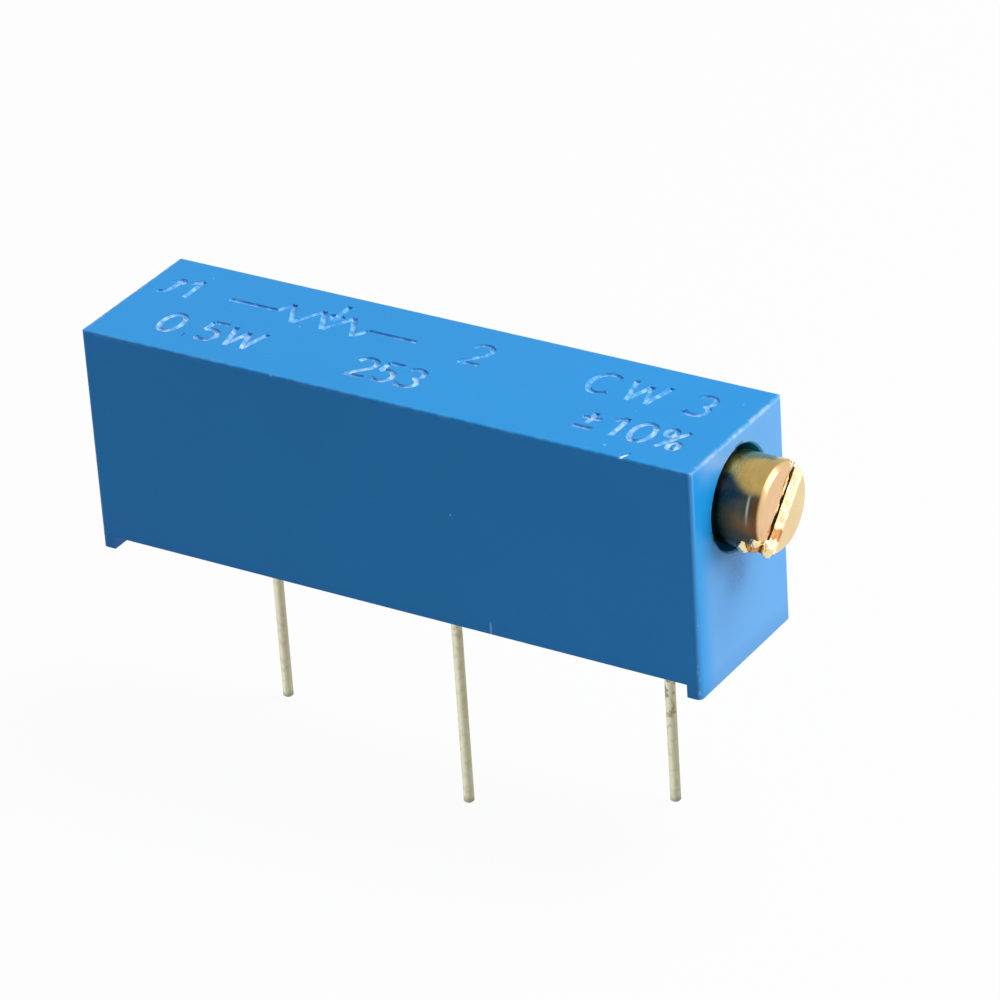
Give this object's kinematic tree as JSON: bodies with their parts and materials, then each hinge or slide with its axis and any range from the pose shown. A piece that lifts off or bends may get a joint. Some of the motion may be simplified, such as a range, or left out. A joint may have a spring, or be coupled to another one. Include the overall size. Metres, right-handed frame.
{
  "type": "trimmer potentiometer",
  "caption": "Slim rectangular board-mounted multiturn trimmer: an end screw drives a wiper carriage along a sealed resistance track.",
  "frame": {"origin": "axis of pin 1 in the plane of the circuit board, which the feet stand on", "axes": "+X along the body towards the screw head, +Y towards the side of pins 1 and 3, +Z away from the board"},
  "size_m": [0.0204, 0.0048, 0.0127],
  "materials": {
    "moulded_plastic": "satin blue moulded thermoset",
    "cured_resin": "glossy cured epoxy",
    "alumina": "fired white ceramic, matte plastic stands in for it",
    "resistive_film": "fired black-grey cermet print",
    "conductor_film": "fired silver alloy print",
    "tinned_wire": "dull tinned copper wire",
    "solder": "bright solder",
    "spring_steel": "blanked stainless steel",
    "turned_brass": "turned brass with a sawn slot",
    "seal_rubber": "black silicone rubber",
    "dark_plastic": "moulded black plastic",
    "contact_alloy": "rolled precious metal contact alloy"
  },
  "bodies": {
    "body": {"housing": "moulded_plastic", "potting_resin": "cured_resin", "element_substrate": "alumina", "resistive_track": "resistive_film", "collector_track": "conductor_film", "end_pad_1": "conductor_film", "end_pad_3": "conductor_film", "pin_1": "tinned_wire", "pin_2": "tinned_wire", "pin_3": "tinned_wire", "solder_joint_1": "solder", "solder_joint_2": "solder", "solder_joint_3": "solder", "retaining_clip": "spring_steel"},
    "screw": {"adjusting_screw": "turned_brass", "seal_ring": "seal_rubber"},
    "slider": {"carriage": "dark_plastic", "wiper_contact": "contact_alloy"}
  },
  "joints": [
    {"name": "screw_turn", "type": "hinge", "parent": "body", "child": "screw", "pos_m": [0.01588, -0.00127, 0.00485], "axis": [1, 0, 0], "range_deg": [-2700, 2700]},
    {"name": "carriage_travel", "type": "slide", "parent": "body", "child": "slider", "axis": [1, 0, 0], "range_m": [-0.00525, 0.00525]}
  ],
  "couplings": [
    {"joint": "screw_turn", "follows": "carriage_travel", "rad_per_m": -8976}
  ]
}
